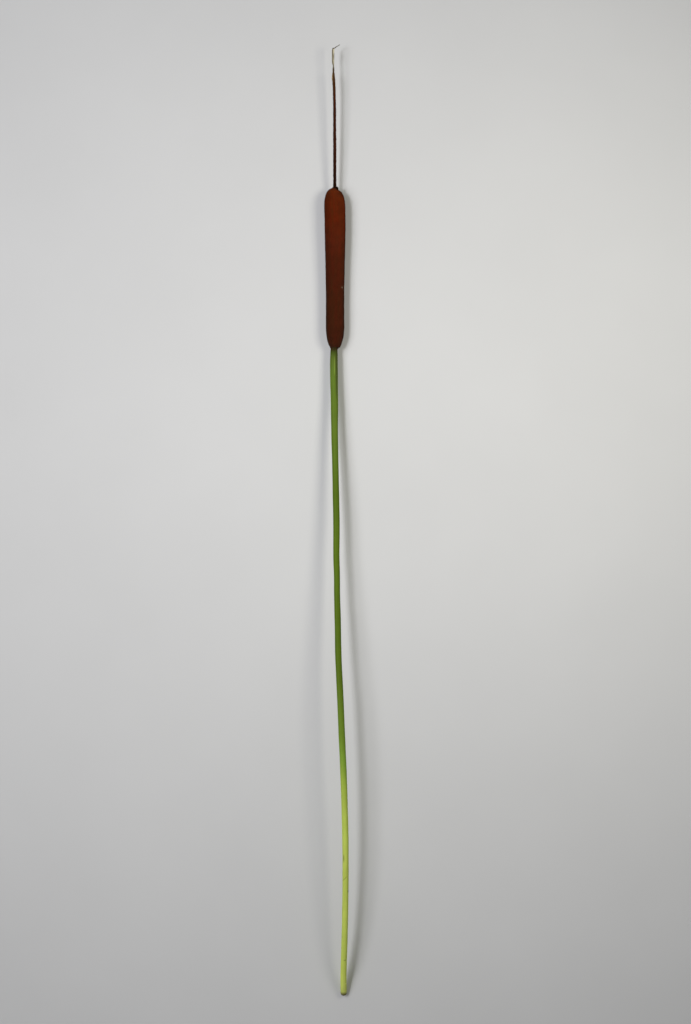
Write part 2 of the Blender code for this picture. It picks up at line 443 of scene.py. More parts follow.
def patterned_material(name, pattern, stops, roughness, specular, depth, **values):
    """A material whose colour and relief both follow one shared pattern."""
    material, tree, shader = new_material(name, roughness, specular)
    shares = use_group(tree, pattern, **values)
    paint(tree, shader, colours_along(tree, shares, stops), shares if depth else None, depth)
    return material


print("shared effects:", fibres.name, blotches.name, mark.name)

# %% [markdown]
# ## A skin rolled round a middle line
#
# Stem, seed head, spike and tip are all closed skins round a line. They could be turned with
# spin, but a spin has a straight axis and the stalk bends all along. So a flat grid is rolled
# round the measured line instead: its columns go round, its rows go along, and the grid's own
# UV map comes along for free. The two edges that meet below are welded, and the rows at the
# ends shrink to a point, which closes the skin.


# %% Roll a grid into a closed skin
def new_form():
    form = bmesh.new()
    form.loops.layers.uv.new(BAKE_MAP)
    return form


def roll_skin(line, rows, sides, swell, lowest=None):
    """A closed skin. Each row is a place along Y and a share of the line's radius.

    swell(point, y, turn) is added to the radius, and lowest is the height of what the skin
    rests on, which presses it flat there.
    """
    form = new_form()
    last = len(rows) - 1
    bmesh.ops.create_grid(form, x_segments=sides, y_segments=last, size=0.5, calc_uvs=True)
    for vertex in form.verts:
        turn = (vertex.co.x + 0.5) % 1.0
        y, share = rows[round((vertex.co.y + 0.5) * last)]
        radius = line.radius.at(y) * share
        point = line.on_skin(y, turn, radius)
        if share > 0:
            point = line.on_skin(y, turn, radius + swell(point, y, turn))
        if lowest is not None:
            point.z = max(point.z, lowest)
        vertex.co = point
    bmesh.ops.remove_doubles(form, verts=form.verts, dist=WELD)
    return form


def mesh_from(name, form):
    """A mesh from a bmesh, which is freed."""
    mesh = bpy.data.meshes.new(name)
    form.to_mesh(mesh)
    form.free()
    return mesh


def put_in_scene(name, data):
    """A new object with this data."""
    made = bpy.data.objects.new(name, data)
    bpy.context.scene.collection.objects.link(made)
    return made


def place_piece(name, form, materials, replaced=None):
    """Makes a bmesh a finished, smooth piece of the stalk."""
    bmesh.ops.recalc_face_normals(form, faces=form.faces)
    for face in form.faces:
        face.smooth = True
    return dress_piece(name, mesh_from(name, form), materials, replaced)


def dress_piece(name, mesh, materials, replaced=None):
    for material in materials:
        mesh.materials.append(material)
    piece = put_in_scene(name, mesh)
    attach(piece, BODY)
    if replaced:
        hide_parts(replaced)
    triangles = sum(len(face.vertices) - 2 for face in mesh.polygons)
    print(name, "has", triangles, "triangles")
    return piece


# %% [markdown]
# ## The stem
#
# The stem is smooth and round, with faint ribs under its skin. It is dark green for two
# thirds of its length. The part that grew inside the leaf sheaths is pale yellow-green, and the
# change comes quickly, a little lower on one side than on the other. At the cut the rim has
# dried brown and is painted darker still with painted shade, and the pith has sunk in. Just
# above the cut the green is painted lighter with painted light. One side of the neck under the
# head carries a painted shade, and a painted highlight runs beside it. The ribs are real relief,
# the colours are a ramp along the stalk, and the slanted change is the same ramp read with some
# X added.

# %% The stem's colours, from the cut end up to the head
STEM_COLOURS = (
    # the first three stops are the browned rim at the cut, painted darker still: painted shade where
    # the cut meets the floor
    (-474, (0.07, 0.055, 0.03)),
    (-472, (0.095, 0.08, 0.04)),
    (-471, (0.27, 0.27, 0.08)),
    # these three stops are painted lighter than the stem above: painted light near the cut
    (-469.8, (0.59, 0.65, 0.15)),
    (-462, (0.61, 0.69, 0.145)),
    (-448, (0.59, 0.675, 0.122)),
    (-423, (0.53, 0.625, 0.115)),
    (-396, (0.515, 0.605, 0.11)),
    (-325, (0.49, 0.57, 0.104)),
    (-301, (0.475, 0.58, 0.10)),
    (-278, (0.41, 0.50, 0.082)),
    (-256, (0.31, 0.41, 0.055)),
    (-234, (0.187, 0.303, 0.034)),
    (-214, (0.141, 0.221, 0.0225)),
    (-191, (0.121, 0.19, 0.0185)),
    (-159, (0.091, 0.143, 0.011)),
    (-110, (0.084, 0.137, 0.008)),
    (-20, (0.092, 0.15, 0.009)),
    (25, (0.077, 0.127, 0.007)),
    (70, (0.095, 0.153, 0.012)),
    (95, (0.103, 0.16, 0.014)),
    (148, (0.102, 0.162, 0.017)),
    (162, (0.083, 0.121, 0.014)),
    (167, (0.053, 0.082, 0.0075)),
    (170.5, (0.026, 0.018, 0.002)),
)
SLANT = 2.0  # how much further down the change comes for each millimetre to the right
SLANT_MIDDLE = 5.9 * MM
SLANT_START = (-170 * MM, -150 * MM)
SLANT_END = (-450 * MM, -400 * MM)
STEM_SPECKS_AND_SHADE = (
    # place, half size, turn about the vertical, darkness: the first is painted shade along one side
    # of the neck, the rest are real marks
    ((-0.1, 148.0, 12.4), (1.1, 34.0, 3.4), 0.0, 0.62),
    ((7.2, -331.5, 34.5), (0.6, 4.0, 1.2), 0.0, 0.55),
    ((8.3, -351.5, 33.0), (3.3, 0.32, 3.0), -47.0, 0.6),
    ((11.5, -364.4, 30.5), (0.7, 1.2, 2.0), 0.0, 0.6),
    ((8.3, -434.7, 20.5), (1.3, 0.8, 1.6), 0.0, 0.4),
    ((5.6, -410.5, 26.0), (0.3, 1.4, 1.2), 0.0, 0.25),
    ((0.4, -118.0, 33.6), (0.3, 2.2, 1.2), 0.0, 0.25),
)
SPECK_AND_SHADE_COLOUR = (0.045, 0.05, 0.012)
PALE_TINT = (1.9, 1.7, 2.6)
PALE_NICK_AND_PAINTED_HIGHLIGHT = (
    # place, half size, strength: a nick by the cut, and a painted highlight beside the neck's painted
    # shade
    ((9.2, -460.4, 10.1), (0.5, 0.6, 1.2), 0.7),
    ((-1.95, 155.0, 13.2), (0.6, 10.0, 1.8), 0.75),
)


# %% The stem's green skin
def make_stem_material():
    material, tree, shader = new_material("green_stem_skin", roughness=0.42, specular=0.045)
    on_stem = place_on_object(tree)
    aside = calculate(tree, "SUBTRACT", on_stem["X"], SLANT_MIDDLE)
    slanted = times(tree, aside, SLANT)
    below = change(tree, on_stem["Y"], *SLANT_START, low=1.0, high=0.0, kind="LINEAR")
    above_cut = change(tree, on_stem["Y"], *SLANT_END, kind="LINEAR")
    shift = times(tree, slanted, times(tree, below, above_cut))
    colour = colours_by_place(tree, STEM_COLOURS, calculate(tree, "ADD", on_stem["Y"], shift))
    streaks = use_group(tree, fibres, Around=26.0, Along=16.0)
    fine_streaks = use_group(tree, fibres, Around=90.0, Along=50.0, Shift=7.0)
    clouds = use_group(tree, blotches, Size=14 * MM, Contrast=1.6)
    shaded = tint(tree, colour, between(tree, streaks, 0.83, 1.17))
    shaded = tint(tree, shaded, between(tree, fine_streaks, 0.9, 1.1))
    shaded = tint(tree, shaded, between(tree, clouds, 0.92, 1.08))
    # dark marks, and the painted shade along the neck
    for place_mm, half_mm, degrees, darkness in STEM_SPECKS_AND_SHADE:
        covered = marked(tree, place_mm, half_mm, darkness, degrees)
        shaded = blend(tree, covered, shaded, SPECK_AND_SHADE_COLOUR)
    # a pale nick, and the painted highlight by the neck
    for place_mm, half_mm, strength in PALE_NICK_AND_PAINTED_HIGHLIGHT:
        covered = marked(tree, place_mm, half_mm, strength)
        shaded = blend(tree, covered, shaded, tint(tree, shaded, PALE_TINT))
    tree.links.new(between(tree, clouds, 0.36, 0.52), shader.inputs["Roughness"])
    paint(tree, shader, shaded, calculate(tree, "ADD", streaks, fine_streaks), 0.05 * MM)
    return material


stem_material = make_stem_material()


# %% The cut face: sunk spongy pith in a browned rim
PITH_COLOURS = (
    (0.2, (0.035, 0.022, 0.010)), (0.55, (0.13, 0.095, 0.045)), (0.9, (0.3, 0.25, 0.14)))
cut_material = patterned_material(
    "dried_cut_pith", blotches, PITH_COLOURS, roughness=0.9, specular=0.1, depth=0.2 * MM,
    Size=0.5 * MM, Detail=4.0, Contrast=2.2)

# %% Roll the stem
STEM_SIDES = 48
STEM_ROW = 1.7 * MM
CUT_PROFILE = (
    # distance up from the cut in mm, share of the radius: sunk pith, rim, rounded edge
    (0.75, 0.0), (0.7, 0.3), (0.6, 0.55), (0.35, 0.7), (0.08, 0.78), (0.0, 0.84), (0.15, 0.91),
    (0.5, 0.96), (1.1, 0.99), (1.9, 1.0))
STEM_RIBS = 0.05 * MM
STEM_OVAL = 0.09 * MM
BARKLESS_SHARE = 0.86


def stem_swell(point, y, turn):
    """Faint ribs lengthwise, a slightly oval section that turns along the stem, and unevenness."""
    angle = math.tau * turn
    rib_place = Vector((math.cos(angle) * 3.1, math.sin(angle) * 3.1, y / (90 * MM)))
    ribs = noise.noise(rib_place) * STEM_RIBS
    oval = math.cos(2 * angle + y / (60 * MM)) * STEM_OVAL
    uneven = noise.noise(Vector((y / (17 * MM), math.cos(angle) * 0.5, 4.0))) * 0.09 * MM
    return ribs + oval + uneven


_, cut_direction, _, _ = stem_line.axes(stem_low.y + STEM_CUT_REACH)
cut_middle = stem_low.y + stem_line.radius.at(stem_low.y) * abs(cut_direction.z)
cut_rows = [(cut_middle + up_mm * MM, share) for up_mm, share in CUT_PROFILE]
stem_rows = even_steps(cut_rows[-1][0] + STEM_ROW, stem_high.y, STEM_ROW)
rows = cut_rows + [(y, 1.0) for y in stem_rows] + [(stem_high.y, 0.0)]
stem_form = roll_skin(stem_line, rows, STEM_SIDES, stem_swell)
for face in stem_form.faces:
    middle = face.calc_center_median()
    at_cut = middle.y < cut_middle + 2 * MM
    from_middle = (middle - stem_line.middle.at(middle.y)).length
    inside = from_middle < stem_line.radius.at(middle.y) * BARKLESS_SHARE
    face.material_index = 1 if at_cut and inside else 0
stem = place_piece("stem_skin", stem_form, (stem_material, cut_material), "stem")

# %% [markdown]
# ## The seed head
#
# The head is some hundred thousand seed hairs packed so tightly that only their brown ends
# show, as felt. From a step away it is a smooth matt body, redder towards the top, with faint
# clouds where the felt was brushed one way or the other. A bump map alone would leave a clean
# plastic outline. So there are two layers: a soft uneven skin, and tiny three-sided tufts that
# stand all over it, made further down.

# %% The felt's colours, from the foot of the head to its top
FELT_COLOURS = (
    (170, (0.072, 0.016, 0.006)),
    (176, (0.100, 0.021, 0.008)),
    (200, (0.113, 0.025, 0.0085)),
    (220, (0.116, 0.025, 0.008)),
    (244, (0.138, 0.025, 0.0085)),
    (263, (0.148, 0.0265, 0.0085)),
    (279, (0.18, 0.029, 0.009)),
    (299, (0.21, 0.030, 0.006)),
    (319, (0.218, 0.034, 0.0065)),
    (329, (0.19, 0.032, 0.007)),
    (334, (0.10, 0.022, 0.006)),
)
# painted shade: the left flank darkens to half past these, along X
LEFT_FLANK_PAINTED_SHADE = (-13 * MM, -2 * MM)
LOW_FLANK_PAINTED_SHADE = (8.5 * MM, 16.5 * MM)  # painted shade: fully shaded below the first height, not at all above the second
SHOULDER_SHADE_ACROSS = (-2 * MM, 4 * MM)  # painted shade: the right shoulder is darker past these, along X and Y
SHOULDER_SHADE_ALONG = (320 * MM, 328 * MM)


def felt_colour_and_shade(tree):
    """Along the head, clouded, in faint streaks, with painted shade on its left and low flanks and
    right shoulder.
    """
    colour = colours_by_place(tree, FELT_COLOURS)
    clouds = use_group(tree, blotches, Size=6 * MM, Contrast=2.4)
    grain = use_group(tree, blotches, Size=0.8 * MM, Detail=2.0, Contrast=2.0)
    cloudy = blend(tree, times(tree, clouds, 0.34), colour, (0.058, 0.0215, 0.0075))
    brushed = use_group(tree, fibres, Around=30.0, Along=5.0, Shift=11.0)
    streaked = tint(tree, cloudy, blend(tree, brushed, (0.68, 1.3, 1.2), (1.32, 0.7, 0.8)))
    grained = tint(tree, streaked, between(tree, grain, 0.8, 1.2))
    on_head = place_on_object(tree)
    # painted shade: the left flank is darker
    left_flank_shaded = tint(tree, grained, change(tree, on_head["X"], *LEFT_FLANK_PAINTED_SHADE, low=0.5))
    # painted shade: the felt low down on the head is darker and duller
    low_flank_shade = change(tree, on_head["Z"], *LOW_FLANK_PAINTED_SHADE, low=0.95, high=0.0)
    low_flank_shaded = blend(tree, low_flank_shade, left_flank_shaded, (0.048, 0.024, 0.015))
    # painted shade: the right shoulder at the top of the head is darker
    across = change(tree, on_head["X"], *SHOULDER_SHADE_ACROSS)
    shoulder = times(tree, across, change(tree, on_head["Y"], *SHOULDER_SHADE_ALONG))
    return blend(tree, times(tree, shoulder, 0.4), low_flank_shaded, (0.05, 0.018, 0.007))


# %% The skin under the tufts
def make_felt_ground_material():
    material, tree, shader = new_material("seed_felt_ground", roughness=1.0, specular=0.05)
    grain = use_group(tree, blotches, Size=0.45 * MM, Contrast=2.0)
    # the skin is painted darker than the tufts' felt: painted shade between the tufts
    paint(tree, shader, tint(tree, felt_colour_and_shade(tree), (0.72, 0.72, 0.72)), grain, 0.2 * MM)
    return material


HEAD_SIDES = 110
HEAD_ROWS = 330
SKIN_DEPTH = 0.38 * MM  # the skin lies this far inside the solid, and the tufts fill the rest
REST_HEIGHT = 0.12 * MM
TUCK_PROFILE = (
    # mm into the head, share of the radius: the felt is drawn in round the axis
    (1.6, 0.0), (1.2, 0.5), (0.4, 0.86))


def bump(away):
    """One at no distance, and smoothly less further off."""
    return math.exp(-away * away)


def head_swell(point, y, turn):
    """Soft lumps, a left shoulder that is fuller than the right, and the depth of the felt."""
    broad = noise.noise(point / (9 * MM)) * 0.16 * MM
    small = noise.noise(point / (2.4 * MM)) * 0.10 * MM
    to_right = math.cos(math.tau * (turn - 0.25))
    shoulder = 0.65 * MM * to_right * bump((head_high.y - y - 3.1 * MM) / (1.8 * MM))
    neck = 0.55 * MM * bump((head_high.y - y - 1.1 * MM) / (0.7 * MM))
    heel = 0.35 * MM * max(to_right, 0.0) * bump((y - head_low.y - 7 * MM) / (7 * MM))
    return broad + small - shoulder - neck - heel - SKIN_DEPTH


head_places = crowded_ends(head_low.y + END_MARGIN, head_high.y - END_MARGIN, HEAD_ROWS)
foot_tuck = [(head_places[0] + inward * MM, share) for inward, share in TUCK_PROFILE]
top_tuck = [(head_places[-1] - inward * MM, share) for inward, share in reversed(TUCK_PROFILE)]
head_rows = foot_tuck + [(y, 1.0) for y in head_places] + top_tuck
head_form = roll_skin(head_line, head_rows, HEAD_SIDES, head_swell, lowest=REST_HEIGHT)
head_skin = place_piece(
    "seed_head_skin", head_form, (make_felt_ground_material(),), "seed_head")

# %% [markdown]
# ## Tufts all over a skin
#
# Geometry Nodes scatter points on a skin, stand a small form on each with a random lean and
# size, and realize the copies, so that they are plain mesh. Each tuft keeps the UV place of its
# foot, spread out a little, so that a baked texture has a spot for each of its faces, and
# a random shade. The modifier is applied at once, so nothing is left live.


# %% Geometry nodes that stand tufts on a skin
def named(tree, name):
    return add(tree, "GeometryNodeInputNamedAttribute", {"Name": name},
               data_type="FLOAT_VECTOR").outputs[0]


def store(tree, form, name, value, data_type, domain):
    """A geometry with one more named attribute."""
    return add(tree, "GeometryNodeStoreNamedAttribute",
               {"Geometry": form, "Name": name, "Value": value},
               data_type=data_type, domain=domain).outputs[0]


def random_vector(tree, low, high, seed):
    return add(tree, "FunctionNodeRandomValue", {0: low, 1: high, "Seed": seed},
               data_type="FLOAT_VECTOR").outputs[0]


def tuft_tree(tuft, density, seed, belt, lowest, lean, stretch, map_size):
    """Tufts between two places along Y, above a height. map_size is the skin's size in its UV map."""
    tree = bpy.data.node_groups.new("tufts", "GeometryNodeTree")
    for way in ("INPUT", "OUTPUT"):
        tree.interface.new_socket("Geometry", in_out=way, socket_type="NodeSocketGeometry")
    ground = add(tree, "NodeGroupInput").outputs[0]
    position = add(tree, "GeometryNodeInputPosition").outputs[0]
    ground = store(tree, ground, "foot", named(tree, BAKE_MAP), "FLOAT_VECTOR", "CORNER")
    ground = add(tree, "GeometryNodeRemoveAttribute",
                 {"Geometry": ground, "Name": BAKE_MAP}).outputs[0]
    place = add(tree, "ShaderNodeSeparateXYZ", {0: position}).outputs
    chosen = calculate(tree, "GREATER_THAN", place["Z"], lowest)
    for end, side in zip(belt, ("GREATER_THAN", "LESS_THAN")):
        chosen = times(tree, chosen, calculate(tree, side, place["Y"], end))
    scatter = add(tree, "GeometryNodeDistributePointsOnFaces", {
        "Mesh": ground, "Selection": chosen, "Density": density, "Seed": seed})
    shade = add(tree, "FunctionNodeRandomValue", {"Seed": seed + 1}, data_type="FLOAT").outputs[1]
    points = store(tree, scatter.outputs["Points"], "shade", shade, "FLOAT", "POINT")
    lean_by = random_vector(tree, (-lean, -lean, 0.0), (lean, lean, math.tau), seed + 2)
    turn = add(tree, "FunctionNodeEulerToRotation", {0: lean_by}).outputs[0]
    stand = add(tree, "FunctionNodeRotateRotation",
                {0: scatter.outputs["Rotation"], 1: turn}, rotation_space="LOCAL").outputs[0]
    smallest = (1 - stretch, 1 - stretch, 1 - 1.5 * stretch)
    largest = (1 + stretch, 1 + stretch, 1 + 1.5 * stretch)
    size = random_vector(tree, smallest, largest, seed + 3)
    form = add(tree, "GeometryNodeObjectInfo", {"Object": tuft}).outputs["Geometry"]
    form = store(tree, form, "spread", position, "FLOAT_VECTOR", "POINT")
    copies = add(tree, "GeometryNodeInstanceOnPoints", {
        "Points": points, "Instance": form, "Rotation": stand, "Scale": size}).outputs[0]
    copies = add(tree, "GeometryNodeRealizeInstances", {0: copies}).outputs[0]
    in_map = calculate_vector(tree, "DIVIDE", named(tree, "spread"), (*map_size, 1.0))[0]
    map_place = calculate_vector(tree, "ADD", named(tree, "foot"), in_map)[0]
    copies = store(tree, copies, BAKE_MAP, map_place, "FLOAT2", "CORNER")
    tree.links.new(copies, add(tree, "NodeGroupOutput").inputs[0])
    return tree


# %% Apply the tufts as plain mesh
def stand_tufts(name, skin, width, height, material, slot, **values):
    """A piece of tufts that stand on a skin, each a three-sided cone."""
    form = bmesh.new()
    bmesh.ops.create_cone(form, segments=3, radius1=width / 2, radius2=0, depth=height)
    bmesh.ops.translate(form, verts=form.verts, vec=(0, 0, height / 2))
    tuft = put_in_scene("one_tuft", mesh_from("one_tuft", form))
    carrier = put_in_scene("tuft_carrier", skin.data.copy())
    modifier = carrier.modifiers.new("tufts", "NODES")
    modifier.node_group = tuft_tree(tuft, **values)
    depsgraph = bpy.context.evaluated_depsgraph_get()
    mesh = bpy.data.meshes.new_from_object(
        carrier.evaluated_get(depsgraph), preserve_all_data_layers=True, depsgraph=depsgraph)
    mesh.name = name
    for helper in (tuft, carrier):
        bpy.data.objects.remove(helper)
    for spare in ("foot", "spread"):
        mesh.attributes.remove(mesh.attributes[spare])
    mesh.materials.clear()
    return dress_piece(name, mesh, (material,))


# %% The tufts of the seed head
def make_felt_material():
    material, tree, shader = new_material("seed_felt", roughness=1.0, specular=0.05)
    shade = add(tree, "ShaderNodeAttribute", attribute_name="shade").outputs["Fac"]
    paint(tree, shader, tint(tree, felt_colour_and_shade(tree), between(tree, shade, 0.85, 1.35)))
    return material


TUFT_WIDTH = 0.42 * MM
TUFT_HEIGHT = 0.5 * MM
TUFT_DENSITY = 12.2e6  # to a square metre, so about 12 to a square millimetre
TUFT_REST = 0.75 * MM
head_middle = (head_low.y + head_high.y) / 2
head_round = math.tau * head_line.radius.at(head_middle)
felt_material = make_felt_material()
for part, low, high, seed in (("lower", head_low.y - 1, head_middle, 3),
                              ("upper", head_middle, head_high.y + 1, 8)):
    stand_tufts(
        "seed_felt_" + part, head_skin, TUFT_WIDTH, TUFT_HEIGHT, felt_material, "seed_felt",
        density=TUFT_DENSITY, seed=seed, belt=(low, high), lowest=TUFT_REST,
        lean=math.radians(24), stretch=0.25, map_size=(head_round, head_high.y - head_low.y))

# %% [markdown]
# ## The male spike
#
# Above the seed head the male flowers have dropped off. What stays is their thin axis, dark
# red-brown, rough with the stubs of their stalks, and paler and drier towards its end. Its
# relief is rolled in: rings of small knobs. A sparse set of the same tufts gives the stubs.

# %% The spike's colours and skin
SPIKE_COLOURS = (
    (326, (0.0135, 0.0042, 0.001)),
    (335, (0.0155, 0.0045, 0.0011)),
    (350, (0.023, 0.0058, 0.0015)),
    (372, (0.041, 0.0108, 0.0042)),
    (396, (0.043, 0.0105, 0.003)),
    (411, (0.044, 0.0092, 0.0024)),
    (421, (0.06, 0.0145, 0.0048)),
    (433, (0.064, 0.026, 0.009)),
    (443, (0.078, 0.042, 0.015)),
    (451, (0.048, 0.03, 0.012)),
)


def make_spike_material(name, brightness):
    material, tree, shader = new_material(name, roughness=0.85, specular=0.04)
    colour = colours_by_place(tree, SPIKE_COLOURS)
    streaks = use_group(tree, fibres, Around=14.0, Along=34.0, Shift=2.0)
    grain = use_group(tree, blotches, Size=1.1 * MM, Contrast=2.0)
    relief = calculate(tree, "ADD", streaks, grain)
    pattern = times(tree, relief, brightness)
    turn = times(tree, place_on_map(tree)["X"], math.tau)
    to_right = change(tree, calculate(tree, "SINE", turn), -1.0, 1.0, kind="LINEAR")
    redder_right = blend(tree, to_right, (0.72, 0.85, 1.0), (1.4, 1.15, 1.0))
    paint(tree, shader, tint(tree, tint(tree, colour, pattern), redder_right), relief, 0.12 * MM)
    return material


# %% Roll the spike
SPIKE_SIDES = 24
SPIKE_ROW = 0.42 * MM
KNOB_SIZE = Vector((0.9, 0.55, 0.9)) * MM


def spike_swell(point, y, turn):
    """Small knobs in loose rings, where the flowers stood."""
    knobs = noise.noise(Vector(a / b for a, b in zip(point, KNOB_SIZE)))
    rings = math.sin(y / (0.8 * MM) + 2 * noise.noise(point / (3 * MM)))
    lumps = noise.noise(point / (3.2 * MM))
    return knobs * 0.17 * MM + rings * 0.035 * MM + lumps * 0.14 * MM


SPIKE_POINT = ((0.0, 0.85), (0.25, 0.6), (0.4, 0.3), (0.45, 0.0))  # mm beyond, share of the radius
spike_places = even_steps(spike_low.y, spike_high.y - 0.5 * MM, SPIKE_ROW)
spike_rows = [(spike_places[0], 0.0)] + [(y, 0.97) for y in spike_places]
spike_rows += [(spike_places[-1] + beyond * MM, share) for beyond, share in SPIKE_POINT]
spike_form = roll_skin(spike_line, spike_rows, SPIKE_SIDES, spike_swell)
spike_material = make_spike_material("red_brown_axis", 0.95)
spike_skin = place_piece(
    "male_spike_axis", spike_form, (spike_material,), "male_spike")

# %% Stubs of the fallen flowers
spike_round = math.tau * spike_line.radius.at((spike_low.y + spike_high.y) / 2)
stand_tufts(
    "flower_stubs", spike_skin, 0.26 * MM, 0.5 * MM, make_spike_material("flower_stub", 1.1),
    "male_spike", density=2.6e6, seed=21, belt=(head_high.y, spike_high.y - 2 * MM), lowest=0.0,
    lean=math.radians(50), stretch=0.35, map_size=(spike_round, spike_high.y - spike_low.y))

# %% [markdown]
# ## Papery strips and threads
#
# Dry plant ends are made of two things: thin strips that curl round the axis, and threads.
# A strip is a small grid rolled flat, as a paper tube is pressed flat, and laid round part of
# a middle line. A thread is a grid rolled round a short run of points, thinner towards its end.
# Both are functions, because the flap on the spike, the withered tip and the fluff use them.


# %% A strip that curls round a line
def add_strip(form, line, ends, turns, lift, thickness, columns=16, ragged=0.0):
    """A thin closed strip over part of a line, between two turns, narrowed to its ends.

    ends are its places along Y, and lift is its distance from the line's skin, at its middle
    and at its ends.
    """
    rows = max(6, round((ends[1] - ends[0]) / (0.4 * MM)))
    made = bmesh.ops.create_grid(form, x_segments=columns, y_segments=rows, size=0.5, calc_uvs=True)
    middle_turn = (turns[0] + turns[1]) / 2
    for vertex in made["verts"]:
        angle = math.tau * vertex.co.x
        along = vertex.co.y + 0.5
        y = ends[0] + (ends[1] - ends[0]) * along
        fullness = max(math.sin(math.pi * along), 0.0) ** 0.6
        across = math.cos(angle) / 2
        frayed = ragged * noise.noise(Vector((across * 9, along * 7, ends[0] / MM)))
        turn = middle_turn + ((turns[1] - turns[0]) * across + frayed) * fullness
        away = lift[1] + (lift[0] - lift[1] + math.sin(angle) * thickness / 2) * fullness
        vertex.co = line.on_skin(y, turn, line.radius.at(y) + away)
    bmesh.ops.remove_doubles(form, verts=made["verts"], dist=WELD)


def add_thread(form, points, thickness, sides=6):
    """A thin round thread through some points, tapering to its end."""
    places = [float(index) for index in range(len(points))]
    curve = SmoothCurve(places, points)
    last = (len(points) - 1) * 4
    made = bmesh.ops.create_grid(form, x_segments=sides, y_segments=last, size=0.5, calc_uvs=True)
    for vertex in made["verts"]:
        angle = math.tau * vertex.co.x
        share = vertex.co.y + 0.5
        at = share * (len(points) - 1)
        along = (curve.at(at + 0.05) - curve.at(at - 0.05)).normalized()
        side = along.orthogonal().normalized()
        up = side.cross(along)
        taper = math.sqrt(max(1 - share, 0.0)) * 0.3 + 0.7
        radius = 0.0 if share in (0.0, 1.0) else thickness / 2 * taper
        vertex.co = curve.at(at) + (side * math.cos(angle) + up * math.sin(angle)) * radius
    bmesh.ops.remove_doubles(form, verts=made["verts"], dist=WELD)


# %% The golden flap near the spike's end
FLAP_COLOURS = (
    (0.3, (0.10, 0.048, 0.012)), (0.5, (0.27, 0.15, 0.032)), (0.75, (0.38, 0.24, 0.06)))
flap_material = patterned_material(
    "golden_flap", fibres, FLAP_COLOURS, roughness=0.6, specular=0.25, depth=0.1 * MM,
    Around=9.0, Along=2.0, Shift=5.0)
flap_form = new_form()
add_strip(flap_form, spike_line, (436 * MM, 445 * MM), (0.58, 0.88), (0.42 * MM, 0.02 * MM),
          0.1 * MM, ragged=0.03)
flap = place_piece("spike_flap", flap_form, (flap_material,))

# %% [markdown]
# ## The withered tip
#
# The tip is a pale shred of dried leaf, folded lengthwise: one half looks cream, and the other
# lies in shade, which is painted on it as a greyer colour. It ends in a dark knot from which a
# fine grey hair bends off to the right. It is a flattened skin with a crease, some loose shreds,
# and threads.

# %% The straw finish
TIP_CREASE_TURN = 0.54


def make_straw_material():
    material, tree, shader = new_material("dry_straw", roughness=0.8, specular=0.15)
    # the half on one side of the crease is painted grey-brown: painted shade
    fold = change(tree, place_on_map(tree)["X"], TIP_CREASE_TURN - 0.08, TIP_CREASE_TURN - 0.02)
    colour = blend(tree, fold, (0.68, 0.63, 0.45), (0.22, 0.19, 0.12))
    streaks = use_group(tree, fibres, Around=18.0, Along=4.0)
    shaded = tint(tree, colour, between(tree, streaks, 0.55, 1.45))
    foot = share_along(tree, 460 * MM, 452 * MM)
    foot_tint = blend(tree, times(tree, foot, 0.6), shaded, (0.16, 0.13, 0.085))
    knot = share_along(tree, 467.6 * MM, 469.2 * MM)
    knot_tint = blend(tree, times(tree, knot, 0.8), foot_tint, (0.12, 0.10, 0.065))
    paint(tree, shader, knot_tint, streaks, 0.12 * MM)
    return material


# %% Roll the tip, flattened and creased
TIP_SIDES = 28
TIP_ROW = 0.2 * MM


def tip_swell(point, y, turn):
    """Flattened from above, with a groove along the fold and crumples."""
    flat = -0.4 * MM * math.sin(math.tau * (turn - 0.25)) ** 2
    groove = -0.2 * MM * math.exp(-((turn - TIP_CREASE_TURN) / 0.05) ** 2)
    crumple = noise.noise(point / (1.3 * MM)) * 0.16 * MM
    return flat + groove + crumple


TIP_OVERLAP = 1.1 * MM  # its foot clasps the point of the spike
tip_places = even_steps(tip_low.y - TIP_OVERLAP, tip_high.y - HAIR_RISE, TIP_ROW)
tip_rows = [(tip_places[0], 0.0), (tip_places[0], 0.8)] + [(y, 1.0) for y in tip_places[1:]]
tip_rows += [(tip_places[-1] + beyond * MM, share)
             for beyond, share in ((0.3, 0.95), (0.6, 0.8), (0.85, 0.5), (0.95, 0.0))]
tip_form = roll_skin(tip_line, tip_rows, TIP_SIDES, tip_swell)
straw_material = make_straw_material()
tip = place_piece("withered_tip_skin", tip_form, (straw_material,), "withered_tip")

# %% Loose shreds at the tip
shred_form = new_form()
SHREDS = (
    # line, ends along Y in mm, turns, lift and thickness in mm
    (tip_line, (452.2, 457.5), (0.60, 0.78), (0.16, 0.04), 0.08),
    (tip_line, (457.0, 464.5), (0.30, 0.46), (0.12, 0.03), 0.08),
    (tip_line, (462.0, 468.6), (0.56, 0.72), (0.12, 0.05), 0.08),
    (spike_line, (445.5, 453.0), (0.58, 0.80), (0.2, 0.05), 0.1),
    (spike_line, (449.0, 453.2), (0.40, 0.58), (0.2, 0.05), 0.1),
)
for line, ends, turns, lift, thickness in SHREDS:
    add_strip(shred_form, line, (ends[0] * MM, ends[1] * MM), turns,
              (lift[0] * MM, lift[1] * MM), thickness * MM, columns=12, ragged=0.05)
shreds = place_piece("withered_shreds", shred_form, (straw_material,))


